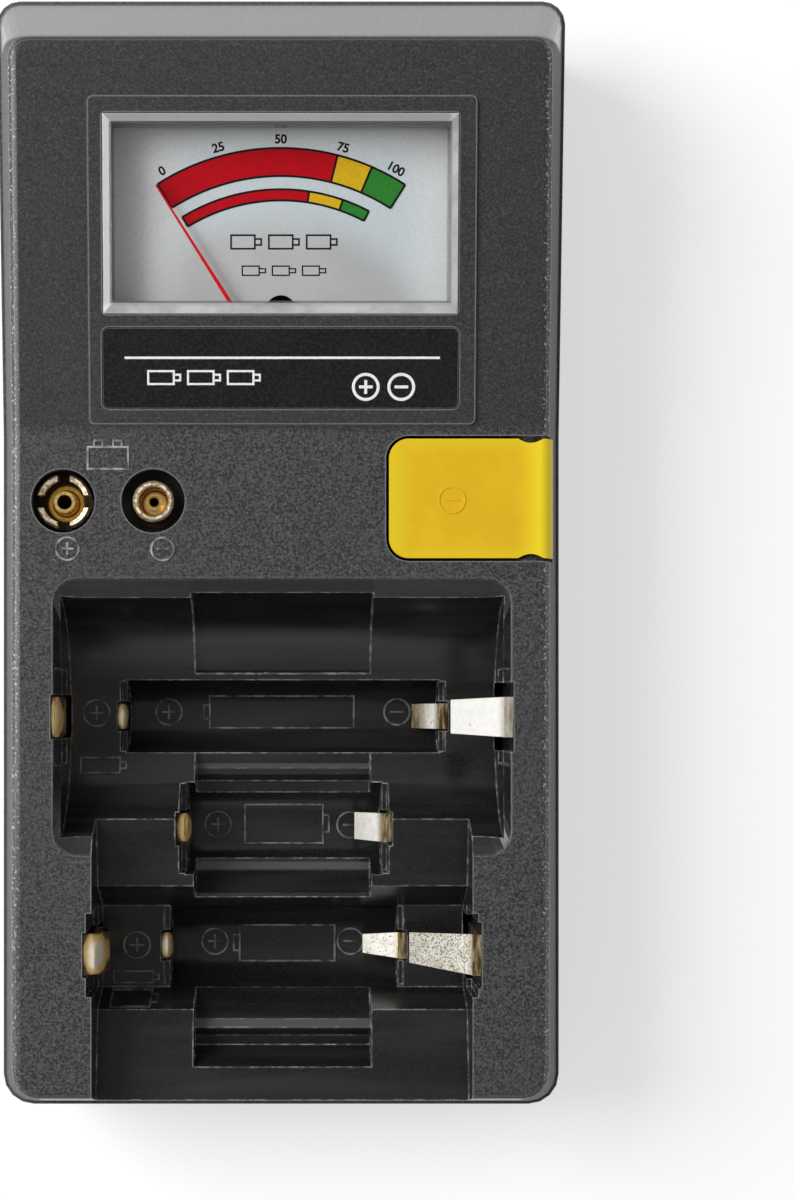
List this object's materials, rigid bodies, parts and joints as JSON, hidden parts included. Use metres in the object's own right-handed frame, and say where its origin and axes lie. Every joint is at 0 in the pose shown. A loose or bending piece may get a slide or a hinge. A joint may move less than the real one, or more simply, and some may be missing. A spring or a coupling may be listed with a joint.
{
  "type": "battery tester",
  "caption": "Handheld battery tester with a moving-coil meter, open troughs for round cells, two snaps and a sprung flap for button cells.",
  "frame": {"origin": "middle of the bounding box at its lowest plane, the flat back that the tester lies on", "axes": "+X to the right as the front is read, +Y towards the meter end, +Z out of the front face"},
  "size_m": [0.0828, 0.1606, 0.0327],
  "materials": {
    "case_plastic": "fine grain, satin",
    "screw_steel": "zinc plated",
    "lens_clear": "clear acrylic, polished",
    "label_print": "glossy printed label",
    "dial_print": "silvery printed dial",
    "meter_black": "moulded",
    "magnet_ferrite": "sintered",
    "core_iron": "turned",
    "bridge_brass": "satin",
    "needle_red": "satin paint",
    "coil_copper": "enamelled wire",
    "hair_bronze": "fine strip",
    "snap_brass": "plated",
    "snap_board": "laminate",
    "contact_gold": "plated spring strip",
    "contact_nickel": "nickel-plated spring strip",
    "flap_yellow": "satin moulding",
    "pin_steel": "ground",
    "board_green": "solder resist",
    "resistor_body": "enamelled"
  },
  "bodies": {
    "case": {"front_case": "case_plastic", "back_case": "case_plastic", "case_screws": "screw_steel", "meter_lens": "lens_clear", "label_plate": "label_print", "dial_plate": "dial_print", "meter_housing": "meter_black", "meter_magnet": "magnet_ferrite", "meter_core": "core_iron", "meter_bridge": "bridge_brass", "jewel_screws": "bridge_brass", "nine_volt_socket": "snap_brass", "nine_volt_stud": "snap_brass", "snap_board": "snap_board", "d_positive_contact": "contact_gold", "aaa_positive_contact": "contact_gold", "six_volt_positive_contact": "contact_gold", "c_aa_positive_contact": "contact_gold", "n_positive_contact": "contact_gold", "d_negative_anchor": "contact_nickel", "aaa_negative_anchor": "contact_nickel", "six_volt_negative_anchor": "contact_nickel", "c_aa_negative_anchor": "contact_nickel", "n_negative_anchor": "contact_nickel", "flap_pin": "pin_steel", "button_cell_contact": "contact_nickel", "circuit_board": "board_green", "load_resistors": "resistor_body"},
    "meter_movement": {"needle": "needle_red", "moving_coil": "coil_copper", "hairspring": "hair_bronze"},
    "flap": {"button_cell_flap": "flap_yellow", "flap_contact": "contact_nickel", "flap_spring": "pin_steel"},
    "d_leaf": {"d_negative_leaf": "contact_nickel"},
    "aaa_leaf": {"aaa_negative_leaf": "contact_nickel"},
    "six_volt_leaf": {"six_volt_negative_leaf": "contact_nickel"},
    "c_aa_leaf": {"c_aa_negative_leaf": "contact_nickel"},
    "n_leaf": {"n_negative_leaf": "contact_nickel"}
  },
  "joints": [
    {"name": "needle_swing", "type": "hinge", "parent": "case", "child": "meter_movement", "pos_m": [0, 0.02399, 0.02359], "axis": [0, 0.0826, -0.9966], "range_deg": [0, 65.2], "stiffness_Nm_per_rad": 0.00002},
    {"name": "flap_hinge", "type": "hinge", "parent": "case", "child": "flap", "pos_m": [0.0353, 0.00695, 0.0258], "axis": [0, 1, 0], "range_deg": [0, 50], "stiffness_Nm_per_rad": 0.01, "springref_deg": -20.05},
    {"name": "d_leaf_spring", "type": "hinge", "parent": "case", "child": "d_leaf", "pos_m": [0.0319, -0.0239, 0.027], "axis": [0, -1, 0], "range_deg": [0, 30], "stiffness_Nm_per_rad": 0.02},
    {"name": "aaa_leaf_spring", "type": "hinge", "parent": "case", "child": "aaa_leaf", "pos_m": [0.0237, -0.0239, 0.0116], "axis": [0, -1, 0], "range_deg": [0, 20], "stiffness_Nm_per_rad": 0.02},
    {"name": "six_volt_leaf_spring", "type": "hinge", "parent": "case", "child": "six_volt_leaf", "pos_m": [0.0151, -0.0402, 0.016], "axis": [0, -1, 0], "range_deg": [0, 28], "stiffness_Nm_per_rad": 0.02},
    {"name": "c_aa_leaf_spring", "type": "hinge", "parent": "case", "child": "c_aa_leaf", "pos_m": [0.0274, -0.05755, 0.027], "axis": [0, -1, 0], "range_deg": [0, 30], "stiffness_Nm_per_rad": 0.02},
    {"name": "n_leaf_spring", "type": "hinge", "parent": "case", "child": "n_leaf", "pos_m": [0.01765, -0.05815, 0.0099], "axis": [0, -1, 0], "range_deg": [0, 24], "stiffness_Nm_per_rad": 0.02}
  ]
}
